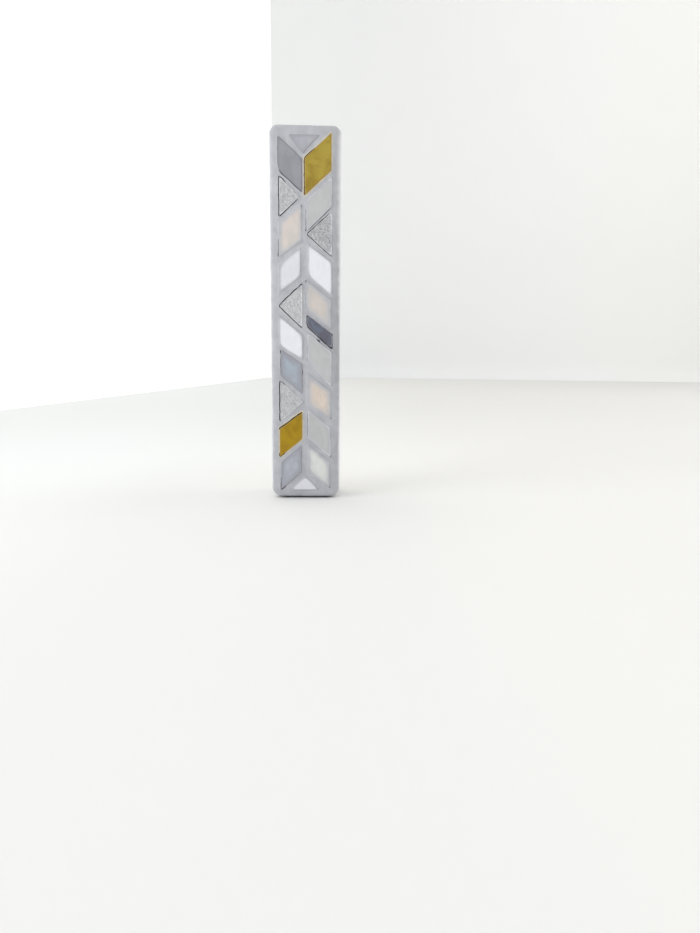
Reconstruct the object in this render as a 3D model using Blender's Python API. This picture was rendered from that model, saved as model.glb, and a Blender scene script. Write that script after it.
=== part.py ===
"""Mosaic mezuzah case: a routed wooden body, faced with cut glass set in grout, that lifts off a dovetailed wall plate.

The origin is the centre of the footprint, at the bottom. +Z is up, the glass faces -Y and the wall is at +Y.
"""

import math

import bmesh
import bpy
from mathutils import Vector

MM = 0.001

# Driving dimensions, in metres.
HEIGHT = 0.121
WIDTH = 0.0233
DEPTH = 0.017
CORNER_RADIUS = 0.003  # the four corners as seen from the front
GLASS_THICKNESS = 0.003
ADHESIVE_THICKNESS = 0.0005
GROUT_STEP = 0.0002  # the grout lies this far below the face of the glass
GROUT_ROUND = 0.0013  # rounding along the grout's outer front edge
NIPPED_EDGE = 0.0002  # small bevel on every edge of the glass
TOUCH_GAP = 0.0003  # gap between pieces that lie on each other
POCKET_GAP = 0.0002  # gap round each piece of glass, where only about 1 mm of grout parts it from the next
SLIDE_GAP = 0.0002  # running gap of the wall plate in its groove
WALL_CLEARANCE = 0.0003  # the body stands this far off the wall, so that it slides past it
BACK_EASE = 0.0005  # bevel along the body's back edge

# The wall plate and its groove.
PLATE_THICKNESS = 0.0024
PLATE_WIDTH = 0.015  # at its wide side, which faces the scroll
PLATE_TOP = 0.114
DOVETAIL_ANGLE = math.radians(14)
SCREW_HEIGHTS = (0.020, 0.100)
SCREW_HOLE_RADIUS = 0.0016
SCREW_HEAD_RADIUS = 0.0031

# The scroll's chamber, routed from the back.
FRONT_WEB = 0.0018
CHAMBER_WIDTH = 0.0104
CHAMBER_BOTTOM = 0.010
CHAMBER_TOP = 0.110
CHAMBER_CORNER = 0.003

# The rolled parchment, and the clear film sleeve round it.
PARCHMENT_HEIGHT = 0.080
PARCHMENT_THICKNESS = 0.0003
ROLL_RADIUS = 0.00375  # to the middle of the outermost turn
ROLL_PITCH = 0.0005
ROLL_TURNS = 5.15
SLEEVE_RADIUS = 0.00415
SLEEVE_WALL = 0.00015
SLEEVE_HEIGHT = 0.084
SLEEVE_BOTTOM = 0.0111  # its rim bears on the chamber's rounded bottom corners

# Places along Y, from the face of the glass to the wall.
GLASS_FACE = -DEPTH / 2
GLASS_BACK = GLASS_FACE + GLASS_THICKNESS
ADHESIVE_FRONT = GLASS_BACK + TOUCH_GAP
ADHESIVE_BACK = ADHESIVE_FRONT + ADHESIVE_THICKNESS
BODY_FRONT = ADHESIVE_BACK + TOUCH_GAP
WALL = DEPTH / 2
BODY_BACK = WALL - WALL_CLEARANCE
PLATE_FRONT = WALL - PLATE_THICKNESS
GROOVE_FLOOR = PLATE_FRONT - TOUCH_GAP
CHAMBER_FRONT = BODY_FRONT + FRONT_WEB
CHAMBER_AXIS = (CHAMBER_FRONT + PLATE_FRONT) / 2
OVERRUN = 0.001  # how far a cutter runs past the face that it breaks through

ARC_STEPS = 8  # to a quarter circle

# The field that the glass fills, inside the grout border: left, right, bottom, top, in millimetres.
FIELD = (-9.1, 9.4, 2.6, 118.9)

# Each piece of glass spans its column between two upright sides. A side is its x, its top and its bottom, in
# millimetres; a side with one height is the point of a triangle. A third entry is the further corner of a piece whose
# lower outer corner is nipped off. The pieces run from the top of the case down.
LEFT_COLUMN = (
    ("smoke", (-8.7, 117.4, 108.2), (-1.0, 110.6, 100.3), (-8.0, 106.4)),
    ("ripple", (-8.4, 105.2, 92.8), (-1.7, 98.9)),
    ("peach", (-8.7, 90.8, 80.0), (-1.2, 96.8, 85.2)),
    ("white", (-8.7, 77.7, 68.5), (-1.5, 83.3, 74.2)),
    ("ripple", (-8.7, 64.7), (-1.0, 71.8, 57.5)),
    ("white", (-8.7, 61.6, 51.7), (-0.9, 55.2, 47.0)),
    ("slate", (-8.2, 50.4, 41.5), (-1.0, 45.8, 35.6)),
    ("ripple", (-8.5, 40.2, 26.4), (-0.5, 33.1)),
    ("gold", (-8.8, 24.0, 14.3), (-1.1, 29.7, 20.5)),
    ("slate", (-8.4, 12.6, 3.0), (-1.4, 18.6, 8.9)),
)
RIGHT_COLUMN = (
    ("gold", (8.4, 118.5, 107.0), (-0.2, 110.8, 99.2)),
    ("sage", (8.7, 105.3, 96.1), (0.3, 97.8, 88.0)),
    ("ripple", (8.7, 94.6, 80.4), (0.5, 87.4)),
    ("white", (8.7, 78.6, 67.8), (0.8, 84.4, 74.3)),
    ("peach", (8.5, 66.6, 57.2), (0.2, 73.0, 63.2)),
    ("charcoal", (8.9, 55.6, 50.7), (0.5, 61.9, 58.1)),
    ("sage", (8.7, 49.8, 38.0), (0.6, 56.2, 46.7)),
    ("peach", (8.5, 36.8, 27.2), (0.4, 42.8, 31.8)),
    ("sage", (8.5, 24.4, 14.1), (0.7, 30.8, 20.8)),
    ("cream", (8.2, 12.8, 3.5), (0.8, 18.6, 9.4)),
)
# The two end triangles lie across both columns: corners as (x, z) in millimetres.
END_TRIANGLES = (
    ("top", "mist", ((-5.4, 117.7), (-0.9, 111.9), (4.6, 117.7))),
    ("bottom", "pearl", ((-5.2, 3.0), (4.5, 3.0), (-0.1, 7.7))),
)

# Base colour, roughness and metallic value of each material.
MATERIALS = {
    "painted_wood": ((0.80, 0.80, 0.79), 0.6, 0.0),
    "maple": ((0.66, 0.50, 0.33), 0.6, 0.0),
    "grout": ((0.46, 0.46, 0.49), 0.9, 0.0),
    "adhesive": ((0.75, 0.75, 0.72), 0.5, 0.0),
    "parchment": ((0.78, 0.68, 0.50), 0.7, 0.0),
    "film": ((0.90, 0.92, 0.93), 0.1, 0.0),
    "smoke": ((0.31, 0.32, 0.35), 0.2, 0.0),
    "ripple": ((0.52, 0.53, 0.55), 0.15, 0.0),
    "peach": ((0.70, 0.62, 0.55), 0.2, 0.0),
    "white": ((0.80, 0.81, 0.84), 0.2, 0.0),
    "slate": ((0.38, 0.44, 0.50), 0.2, 0.0),
    "gold": ((0.40, 0.27, 0.03), 0.25, 0.6),
    "sage": ((0.53, 0.54, 0.52), 0.2, 0.0),
    "charcoal": ((0.14, 0.16, 0.20), 0.2, 0.0),
    "cream": ((0.68, 0.68, 0.64), 0.2, 0.0),
    "mist": ((0.45, 0.46, 0.52), 0.2, 0.0),
    "pearl": ((0.68, 0.68, 0.71), 0.2, 0.0),
}


def clear_scene():
    for obj in list(bpy.data.objects):
        bpy.data.objects.remove(obj)


def material(name):
    """The named material, made the first time that it is asked for."""
    found = bpy.data.materials.get(name)
    if found:
        return found
    made = bpy.data.materials.new(name)
    made.use_nodes = True
    colour, roughness, metallic = MATERIALS[name]
    shader = made.node_tree.nodes["Principled BSDF"]
    shader.inputs["Base Color"].default_value = (*colour, 1.0)
    shader.inputs["Roughness"].default_value = roughness
    shader.inputs["Metallic"].default_value = metallic
    return made


def add_object(name, shape, finish=None):
    """Turns a bmesh into a named object, in its material, or into a hidden cutter where it has none."""
    bmesh.ops.recalc_face_normals(shape, faces=shape.faces)
    mesh = bpy.data.meshes.new(name)
    shape.to_mesh(mesh)
    shape.free()
    obj = bpy.data.objects.new(name, mesh)
    bpy.context.scene.collection.objects.link(obj)
    if finish:
        mesh.materials.append(material(finish))
    else:
        obj.hide_render = True
        obj.display_type = "WIRE"
    return obj


def cut(obj, cutter):
    boolean = obj.modifiers.new(cutter.name, "BOOLEAN")
    boolean.operation = "DIFFERENCE"
    boolean.object = cutter


def smooth(obj, angle=math.radians(35)):
    obj.data.shade_smooth()
    obj.data.set_sharp_from_angle(angle=angle)


# Outlines are lists of (x, z) points, anticlockwise as seen from the front.


def arc(centre, radius, start, end, steps=ARC_STEPS):
    """Points of an arc from the start angle to the end angle, in degrees, both ends included."""
    points = []
    for step in range(steps + 1):
        angle = math.radians(start + (end - start) * step / steps)
        points.append((centre[0] + radius * math.cos(angle), centre[1] + radius * math.sin(angle)))
    return points


def rounded_rectangle(half_width, bottom, top, radius):
    outline = []
    for side, level, start in (
        (1, bottom + radius, 270),
        (1, top - radius, 0),
        (-1, top - radius, 90),
        (-1, bottom + radius, 180),
    ):
        outline += arc((side * (half_width - radius), level), radius, start, start + 90)
    return outline


def arched(half_width, bottom, crown):
    """Square at the bottom, with a round top whose highest point, at full plate width, is the crown."""
    centre = crown - PLATE_WIDTH / 2
    return [(-half_width, bottom), (half_width, bottom)] + arc((0, centre), half_width, 0, 180, 2 * ARC_STEPS)


def grown(outline, distance):
    """A convex outline with every side moved outwards by the distance, its corners kept sharp."""
    result = []
    count = len(outline)
    for i in range(count):
        before, corner, after = (Vector(outline[(i + step) % count]) for step in (-1, 0, 1))
        along_in = (corner - before).normalized()
        along_out = (after - corner).normalized()
        normal_in = Vector((along_in.y, -along_in.x))
        normal_out = Vector((along_out.y, -along_out.x))
        mitre = (normal_in + normal_out).normalized()
        result.append(tuple(corner + mitre * distance / mitre.dot(normal_in)))
    return result


def add_loft(shape, front, y_front, back, y_back):
    """Adds to a bmesh the solid between two outlines with the same number of points."""
    faces = []
    for outline, y in ((front, y_front), (back, y_back)):
        faces.append(shape.faces.new([shape.verts.new((x, y, z)) for x, z in outline]))
    edges = [edge for face in faces for edge in face.edges]
    bmesh.ops.bridge_loops(shape, edges=edges)
    return faces


def slab(name, outline, y_front, y_back, finish=None):
    shape = bmesh.new()
    add_loft(shape, outline, y_front, outline, y_back)
    return add_object(name, shape, finish)


def slab_with_bevel(name, outline, y_front, y_back, bevelled_y, width, segments, finish):
    """A slab with its outer edge at bevelled_y, which is its front or its back, rounded or eased."""
    shape = bmesh.new()
    add_loft(shape, outline, y_front, outline, y_back)
    bmesh.ops.recalc_face_normals(shape, faces=shape.faces)
    rim = [e for e in shape.edges if all(abs(v.co.y - bevelled_y) < 1e-7 for v in e.verts)]
    bmesh.ops.bevel(shape, geom=rim, offset=width, segments=segments, profile=0.5, affect="EDGES")
    return add_object(name, shape, finish)


def turned(name, profile, centre, axis, finish=None):
    """Spins a profile of (radius, distance along the axis) points about the axis through the centre."""
    shape = bmesh.new()
    across = Vector((1, 0, 0))
    along = Vector(axis)
    points = [shape.verts.new(Vector(centre) + across * r + along * h) for r, h in profile]
    closed = all(r > 0 for r, _ in profile)
    pairs = list(zip(points, points[1:] + points[:1]))
    edges = [shape.edges.new(pair) for pair in (pairs if closed else pairs[:-1])]
    bmesh.ops.spin(
        shape, geom=points + edges, cent=centre, axis=along, angle=2 * math.pi, steps=4 * ARC_STEPS, use_duplicate=False
    )
    bmesh.ops.remove_doubles(shape, verts=shape.verts, dist=1e-6)
    return add_object(name, shape, finish)


def dovetail_half_width(y):
    """Half the wall plate's width at a place along Y: it narrows towards the wall."""
    return PLATE_WIDTH / 2 - (y - PLATE_FRONT) * math.tan(DOVETAIL_ANGLE)


def make_case_body():
    """The wooden body: a block with the chamber and the stopped dovetail groove routed from its back."""
    block = rounded_rectangle(WIDTH / 2, 0, HEIGHT, CORNER_RADIUS)
    body = slab_with_bevel(
        "case_body", block, BODY_FRONT, BODY_BACK, BODY_BACK, BACK_EASE, segments=2, finish="painted_wood"
    )
    chamber = rounded_rectangle(CHAMBER_WIDTH / 2, CHAMBER_BOTTOM, CHAMBER_TOP, CHAMBER_CORNER)
    cut(body, slab("chamber_cutter", chamber, CHAMBER_FRONT, GROOVE_FLOOR + OVERRUN))
    groove = bmesh.new()
    outlines = []
    for y in (GROOVE_FLOOR, BODY_BACK + OVERRUN):
        outlines.append(arched(dovetail_half_width(y) + SLIDE_GAP, -OVERRUN, PLATE_TOP))
    add_loft(groove, outlines[0], GROOVE_FLOOR, outlines[1], BODY_BACK + OVERRUN)
    cut(body, add_object("groove_cutter", groove))
    smooth(body)


def make_back_plate():
    """The wall plate, with two holes countersunk on the side that faces the scroll."""
    shape = bmesh.new()
    outlines = [arched(dovetail_half_width(y), 0, PLATE_TOP) for y in (PLATE_FRONT, WALL)]
    add_loft(shape, outlines[0], PLATE_FRONT, outlines[1], WALL)
    plate = add_object("back_plate", shape, "maple")
    depth = SCREW_HEAD_RADIUS - SCREW_HOLE_RADIUS  # a 90 degree countersink is as deep as it is wide
    profile = (
        (0, -OVERRUN),
        (SCREW_HEAD_RADIUS, -OVERRUN),
        (SCREW_HEAD_RADIUS, 0),
        (SCREW_HOLE_RADIUS, depth),
        (SCREW_HOLE_RADIUS, PLATE_THICKNESS + OVERRUN),
        (0, PLATE_THICKNESS + OVERRUN),
    )
    for number, height in enumerate(SCREW_HEIGHTS, start=1):
        cut(plate, turned(f"screw_hole_cutter_{number}", profile, (0, PLATE_FRONT, height), (0, 1, 0)))
    smooth(plate)


def side_points(side):
    """The corners of one upright side, top first: two, or one where the side is a point."""
    x, *heights = side
    return [(x * MM, z * MM) for z in heights]


def glass_pieces():
    """(node name, kind of glass, outline) of every piece in the mosaic."""
    pieces = []
    for number, (kind, outer, inner, *nipped) in enumerate(LEFT_COLUMN, start=1):
        outline = side_points(outer) + [(x * MM, z * MM) for x, z in nipped] + side_points(inner)[::-1]
        pieces.append((f"glass_left_{number:02d}_{kind}", kind, outline))
    for number, (kind, outer, inner) in enumerate(RIGHT_COLUMN, start=1):
        outline = side_points(inner) + side_points(outer)[::-1]
        pieces.append((f"glass_right_{number:02d}_{kind}", kind, outline))
    for end, kind, corners in END_TRIANGLES:
        pieces.append((f"glass_{end}_{kind}", kind, [(x * MM, z * MM) for x, z in corners]))
    return pieces


def make_mosaic():
    """The bed of adhesive, the glass on it, and the grout round every piece of glass."""
    left, right, bottom, top = (value * MM for value in FIELD)
    field = [(left, bottom), (right, bottom), (right, top), (left, top)]
    slab("tile_adhesive", field, ADHESIVE_FRONT, ADHESIVE_BACK, "adhesive")

    outer = rounded_rectangle(WIDTH / 2, 0, HEIGHT, CORNER_RADIUS)
    face = GLASS_FACE + GROUT_STEP
    grout = slab_with_bevel(
        "grout", outer, face, BODY_FRONT - TOUCH_GAP, face, GROUT_ROUND, segments=4, finish="grout"
    )
    bed = grown(field, POCKET_GAP)
    cut(grout, slab("bed_cutter", bed, GLASS_BACK, BODY_FRONT + OVERRUN))
    pockets = bmesh.new()
    for name, kind, outline in glass_pieces():
        pocket = grown(outline, POCKET_GAP)
        add_loft(pockets, pocket, GLASS_FACE - OVERRUN, pocket, ADHESIVE_BACK)
        piece = slab(name, outline, GLASS_FACE, GLASS_BACK, kind)
        bevel = piece.modifiers.new("nipped_edges", "BEVEL")
        bevel.width = NIPPED_EDGE
        bevel.segments = 1
    cut(grout, add_object("pocket_cutter", pockets))
    smooth(grout)


def make_scroll():
    """The parchment, rolled up, and the film sleeve that it stands in."""
    axis = (0, CHAMBER_AXIS, SLEEVE_BOTTOM)
    inner = SLEEVE_RADIUS - SLEEVE_WALL
    wall = ((inner, 0), (SLEEVE_RADIUS, 0), (SLEEVE_RADIUS, SLEEVE_HEIGHT), (inner, SLEEVE_HEIGHT))
    smooth(turned("scroll_sleeve", wall, axis, (0, 0, 1), "film"))

    steps = round(ROLL_TURNS * 20)
    spiral = []
    for step in range(steps + 1):
        turns = ROLL_TURNS * step / steps
        spiral.append((ROLL_RADIUS - ROLL_PITCH * turns, 2 * math.pi * turns))
    half = PARCHMENT_THICKNESS / 2
    sheet = [(r + half, a) for r, a in spiral] + [(r - half, a) for r, a in reversed(spiral)]
    bottom = SLEEVE_BOTTOM + (SLEEVE_HEIGHT - PARCHMENT_HEIGHT) / 2
    shape = bmesh.new()
    end = shape.faces.new(
        [shape.verts.new((r * math.cos(a), CHAMBER_AXIS + r * math.sin(a), bottom)) for r, a in sheet]
    )
    rolled = bmesh.ops.extrude_face_region(shape, geom=[end])
    tops = [item for item in rolled["geom"] if isinstance(item, bmesh.types.BMVert)]
    bmesh.ops.translate(shape, verts=tops, vec=(0, 0, PARCHMENT_HEIGHT))
    smooth(add_object("parchment_scroll", shape, "parchment"))


def main():
    clear_scene()
    make_case_body()
    make_back_plate()
    make_mosaic()
    make_scroll()


main()
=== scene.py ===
import math
from dataclasses import dataclass

import bmesh
import bpy
import numpy as np
from mathutils import Matrix, Vector, geometry, kdtree


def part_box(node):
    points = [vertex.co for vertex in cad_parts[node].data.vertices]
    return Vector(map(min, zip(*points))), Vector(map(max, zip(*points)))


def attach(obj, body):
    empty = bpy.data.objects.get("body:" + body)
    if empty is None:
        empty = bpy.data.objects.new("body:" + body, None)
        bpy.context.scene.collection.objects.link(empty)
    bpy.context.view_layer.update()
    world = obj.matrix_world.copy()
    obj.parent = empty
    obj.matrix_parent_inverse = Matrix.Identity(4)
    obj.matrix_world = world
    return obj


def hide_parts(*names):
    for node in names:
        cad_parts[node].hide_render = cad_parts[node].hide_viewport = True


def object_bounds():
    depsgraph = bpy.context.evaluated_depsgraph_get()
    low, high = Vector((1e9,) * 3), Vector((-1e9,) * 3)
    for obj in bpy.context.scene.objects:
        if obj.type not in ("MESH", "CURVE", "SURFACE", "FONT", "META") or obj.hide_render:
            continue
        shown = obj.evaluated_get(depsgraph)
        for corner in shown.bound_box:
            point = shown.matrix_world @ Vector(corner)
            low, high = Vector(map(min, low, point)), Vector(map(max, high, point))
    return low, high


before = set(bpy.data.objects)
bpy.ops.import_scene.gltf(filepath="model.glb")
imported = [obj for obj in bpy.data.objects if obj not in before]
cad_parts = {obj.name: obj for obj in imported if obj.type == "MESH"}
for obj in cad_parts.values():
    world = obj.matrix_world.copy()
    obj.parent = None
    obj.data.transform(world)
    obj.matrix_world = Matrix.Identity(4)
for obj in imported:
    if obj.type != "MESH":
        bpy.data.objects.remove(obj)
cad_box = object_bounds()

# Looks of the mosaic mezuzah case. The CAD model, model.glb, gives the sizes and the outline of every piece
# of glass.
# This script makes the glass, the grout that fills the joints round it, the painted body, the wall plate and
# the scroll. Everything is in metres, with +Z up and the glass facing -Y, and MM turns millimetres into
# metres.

MM = 0.001
BODY = "case"
PLATE_BODY = "wall_plate"


def corners_of(box):
    return [np.array(corner) for corner in box]


LOW, HIGH = corners_of(cad_box)
GROUT_LOW, GROUT_HIGH = corners_of(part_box("grout"))
WOOD_LOW, WOOD_HIGH = corners_of(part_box("case_body"))
PLATE_LOW, PLATE_HIGH = corners_of(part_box("back_plate"))
BED_LOW, BED_HIGH = corners_of(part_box("tile_adhesive"))
SLEEVE_LOW, SLEEVE_HIGH = corners_of(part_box("scroll_sleeve"))
ROLL_LOW, ROLL_HIGH = corners_of(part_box("parchment_scroll"))
GLASS_FACE = LOW[1]
GLASS_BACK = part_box("glass_left_04_white")[1][1]

# The grout.
CORNER_TOP = 3.0 * MM
CORNER_BOTTOM = 3.6 * MM
GROUT_BASE = GROUT_LOW[2] + 0.32 * MM  # its lower edge hangs just clear of the table that the wood stands on
GROUT_INSET = 0.03 * MM  # its outline lies this far inside the CAD model's, before it wanders
GROUT_ROUND = 1.25 * MM  # radius along its outer front edge
GROUT_FALL = 0.55 * MM  # how far the border falls away, over BORDER_REACH, before that radius
BORDER_REACH = 2.6 * MM
OUTLINE_WANDER = 0.08 * MM
JOINT_DIP = 0.10 * MM  # hollow between two pieces of glass
POINT_GAP = 0.085 * MM  # between two points of its front
AT_RIM = 0.02 * MM  # its points this near to a pocket's edge count as on it
LAP = 0.03 * MM  # how far it reaches over the rim of the glass
FILM = 0.14 * MM  # how far it is feathered over the rim of filmed glass
CONTACT_SHADOW = 0.42 * MM  # height of the painted contact shadow, a dark line along its lower edge
HIGHLIGHT_LEFT = 0.55 * MM  # how far in from its left edge it is painted pale as a highlight
HIGHLIGHT_LEVELS = (0, 0.010, 0.030, 0.056, 0.066, 0.080, 0.095, 0.117, 0.121)
HIGHLIGHT_RIGHT = (0.3, 0.9, 0.5, 0.6, 1.2, 1.2, 2.1, 2.1, 1.0)  # the same from its right edge, in mm, by level
SHADE_LEVELS = (0.020, 0.036, 0.048, 0.064, 0.081, 0.097, 0.113)
SHADE_TONES = (1.0, 0.95, 0.85, 0.87, 0.92, 0.93, 0.95)  # painted shade: its brightness along the right edge, by level

# The cuts in the wood, as in the CAD model.
CHAMBER_WIDTH = 10.4 * MM
CHAMBER_BOTTOM = 10 * MM
CHAMBER_TOP = 110 * MM
CHAMBER_CORNER = 3 * MM
CHAMBER_FRONT = WOOD_LOW[1] + 1.8 * MM
GROOVE_FLOOR = PLATE_LOW[1] - 0.3 * MM
SLIDE_GAP = 0.2 * MM
DOVETAIL_ANGLE = math.radians(14)
SCREW_HEIGHTS = (20 * MM, 100 * MM)
SCREW_HOLE = 1.6 * MM
SCREW_HEAD = 3.1 * MM
OVERRUN = 1 * MM  # how far a cutter runs past the face that it breaks through
BODY_EASE = 0.5 * MM  # radius of the body's worn back edges
PLATE_EASE = 0.25 * MM

# The roll of parchment and its sleeve.
PARCHMENT = 0.3 * MM
ROLL_PITCH = 0.5 * MM
ROLL_TURNS = 5.15
ROLL_START = math.radians(115)  # the sheet's outer edge faces back, round from +X
SLEEVE_WALL = 0.14 * MM
SLEEVE_DENT = 0.05 * MM

# The bed of glue: the ridges that a notched spreader left in it.
RIDGE_HEIGHT = 0.11 * MM
RIDGE_PITCH = 2.0 * MM

# The glass.
OUTLINE_STEP = 0.14 * MM  # between points along the outline of a piece
GLASS_RINGS = 26
GLASS_EDGE = 0.16 * MM  # radius along its front edge
GLASS_WANDER = 0.05 * MM  # irregularity of a hand nipped edge
GLASS_IOR = 1.52
RIM_SOFTNESS = 0.35  # how far, in millimetres, the haze's corners are rounded
DIMPLE = 0.64 * MM  # size of the hammered glass's dimples, between smaller ones of half the size
DIMPLE_DEPTH = 0.16 * MM

# Where the grout has shrunk away from the glass and left a crevice, painted dark as shade: (side, start, end,
# width).
# Start and end are shares of the side, from its upper end, and so is the fade past both. The width is in
# millimetres.
CREVICE_FADE = 0.05
CREVICES = {
    "left_01_smoke": (("outer", 0.0, 1.0, 0.10), ("bottom", 0.15, 1.0, 0.20)),
    "left_02_ripple": (("outer", 0.0, 1.0, 0.30), ("bottom", 0.1, 1.0, 0.29), ("top", 0.0, 0.28, 0.26)),
    "left_03_peach": (("outer", 0.45, 1.0, 0.12), ("outer", 0.9, 1.0, 0.30), ("inner", 0.0, 0.08, 0.16)),
    "left_05_ripple": (("top", 0.0, 1.0, 0.33), ("bottom", 0.0, 1.0, 0.31)),
    "left_07_slate": (("outer", 0.0, 1.0, 0.14), ("outer", 0.0, 0.12, 0.30), ("inner", 0.18, 0.32, 0.22)),
    "left_08_ripple": (("outer", 0.0, 1.0, 0.38), ("top", 0.0, 0.2, 0.16), ("inner", 0.0, 1.0, 0.14)),
    "left_09_gold": (("top", 0.0, 1.0, 0.38), ("outer", 0.88, 1.0, 0.30), ("bottom", 0.8, 1.0, 0.22)),
    "left_10_slate": (("outer", 0.55, 1.0, 0.20), ("bottom", 0.8, 1.0, 0.22)),
    "right_01_gold": (("inner", 0.0, 1.0, 0.28), ("top", 0.62, 1.0, 0.24)),
    "right_02_sage": (("inner", 0.25, 1.0, 0.16), ("inner", 0.92, 1.0, 0.28), ("bottom", 0.1, 0.95, 0.17)),
    "right_03_ripple": (("bottom", 0.0, 1.0, 0.23), ("top", 0.08, 1.0, 0.23)),
    "right_05_peach": (("inner", 0.0, 0.08, 0.24), ("inner", 0.4, 1.0, 0.08)),
    "right_06_charcoal": (("bottom", 0.0, 1.0, 0.30), ("inner", 0.0, 1.0, 0.20), ("outer", 0.3, 1.0, 0.14)),
    "right_07_sage": (("inner", 0.5, 1.0, 0.09), ("inner", 0.93, 1.0, 0.24), ("top", 0.36, 0.46, 0.52)),
    "right_08_peach": (("outer", 0.92, 1.0, 0.20),),
    "right_09_sage": (("inner", 0.1, 1.0, 0.12), ("outer", 0.94, 1.0, 0.24), ("outer", 0.0, 0.6, 0.07)),
    "right_10_cream": (("outer", 0.94, 1.0, 0.26),),
    "bottom_pearl": (("top", 0.92, 1.0, 0.16),),
}
# Brightness of single pieces against the rest of their kind.
TONES = {
    "left_04_white": 0.91,
    "left_05_ripple": 1.07,
    "left_07_slate": 0.97,
    "left_08_ripple": 0.99,
    "left_10_slate": 1.06,
    "right_02_sage": 1.04,
    "right_03_ripple": 0.99,
    "right_05_peach": 0.92,
    "right_09_sage": 0.94,
}
# Towards which side, left negative, a piece's haze reaches further, and by how much, in millimetres.
HAZE_LEANS = {
    "left_03_peach": -0.4,
    "left_04_white": -0.3,
    "right_05_peach": 0.35,
    "right_08_peach": -0.35,
    "right_10_cream": 0.1,
}
# How many times further a piece's haze reaches than on the rest of its kind.
HAZE_SPREADS = {"left_04_white": 1.3, "right_05_peach": 1.4, "right_08_peach": 1.15}
OWN_LOOKS = {"right_08_peach": "apricot", "right_01_gold": "pale_gold", "left_10_slate": "dove"}
DARKER_RIPPLE = "right_03_ripple"


# ---- numbers and noise

NOISE_CELLS = 128  # along each side of a table of random numbers, after which the noise repeats
NOISE_SHIFT = 500  # in features, so that no place in the table is negative


def linear(red, green, blue):
    """A display colour, 0 to 255, as the linear colour that shaders use."""
    shares = (channel / 255 for channel in (red, green, blue))
    return tuple(((c + 0.055) / 1.055) ** 2.4 if c > 0.04 else c / 12.92 for c in shares)


def smoothstep(low, high, value):
    share = np.clip((value - low) / (high - low), 0, 1)
    return share * share * (3 - 2 * share)


def noise(x, z, size, seed):
    """Smooth noise from -1 to 1 over a plane, with features of about the given size."""
    table = np.random.default_rng(seed).uniform(-1, 1, (NOISE_CELLS, NOISE_CELLS))
    u, v = np.asarray(x) / size + NOISE_SHIFT, np.asarray(z) / size + NOISE_SHIFT
    i, j = np.floor(u).astype(int), np.floor(v).astype(int)
    su, sv = smoothstep(0, 1, u - i), smoothstep(0, 1, v - j)

    def corner(right, up):
        return table[(i + right) % NOISE_CELLS, (j + up) % NOISE_CELLS]

    low = corner(0, 0) * (1 - su) + corner(1, 0) * su
    high = corner(0, 1) * (1 - su) + corner(1, 1) * su
    return low * (1 - sv) + high * sv


def cells(x, z, size, seed):
    """Distance to the nearest of many scattered points, as a share of the size, and that point's number."""
    across, up, own = np.random.default_rng(seed).uniform(0, 1, (3, NOISE_CELLS, NOISE_CELLS))
    u, v = x / size + NOISE_SHIFT, z / size + NOISE_SHIFT
    i, j = np.floor(u).astype(int), np.floor(v).astype(int)
    best, number = np.full(np.shape(x), 9.0), np.zeros(np.shape(x))
    for di in (-1, 0, 1):
        for dj in (-1, 0, 1):
            a, b = (i + di) % NOISE_CELLS, (j + dj) % NOISE_CELLS
            away = np.hypot(i + di + across[a, b] - u, j + dj + up[a, b] - v)
            number = np.where(away < best, own[a, b], number)
            best = np.minimum(away, best)
    return best, number


# ---- meshes


def new_object(name, points, faces, *materials):
    mesh = bpy.data.meshes.new(name)
    mesh.from_pydata(np.asarray(points).tolist(), [], faces)
    for material in materials:
        mesh.materials.append(material)
    made = bpy.data.objects.new(name, mesh)
    bpy.context.scene.collection.objects.link(made)
    return made


def shade(mesh, sharp):
    """Smooth shading, broken where faces meet at more than an angle in degrees."""
    mesh.shade_smooth()
    mesh.set_sharp_from_angle(angle=math.radians(sharp))


def declare(piece, body, node_name):
    """Which body a piece rides on, and the CAD node that it stands for, which it hides."""
    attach(piece, body)
    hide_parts(node_name)


def add_piece(name, points, faces, material, node_name, attributes=None, sharp=40):
    """A piece of the case. An attribute is a number for each of its points, for its material."""
    piece = new_object(name, points, faces, material)
    piece.data.validate()
    for label, values in (attributes or {}).items():
        layer = piece.data.attributes.new(label, "FLOAT", "POINT")
        layer.data.foreach_set("value", np.asarray(values, np.float32))
    shade(piece.data, sharp)
    declare(piece, BODY, node_name)


def loft_faces(rings, around, caps=True, joined=False):
    """Faces of a skin over rings with the same number of points each, all numbered ring by ring."""
    faces = []
    for ring in range(rings if joined else rings - 1):
        here, there = ring * around, (ring + 1) % rings * around
        for i in range(around):
            j = (i + 1) % around
            faces.append((here + i, here + j, there + j, there + i))
    if caps:
        faces += [tuple(reversed(range(around))), tuple(range((rings - 1) * around, rings * around))]
    return faces


# ---- nodes


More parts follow.
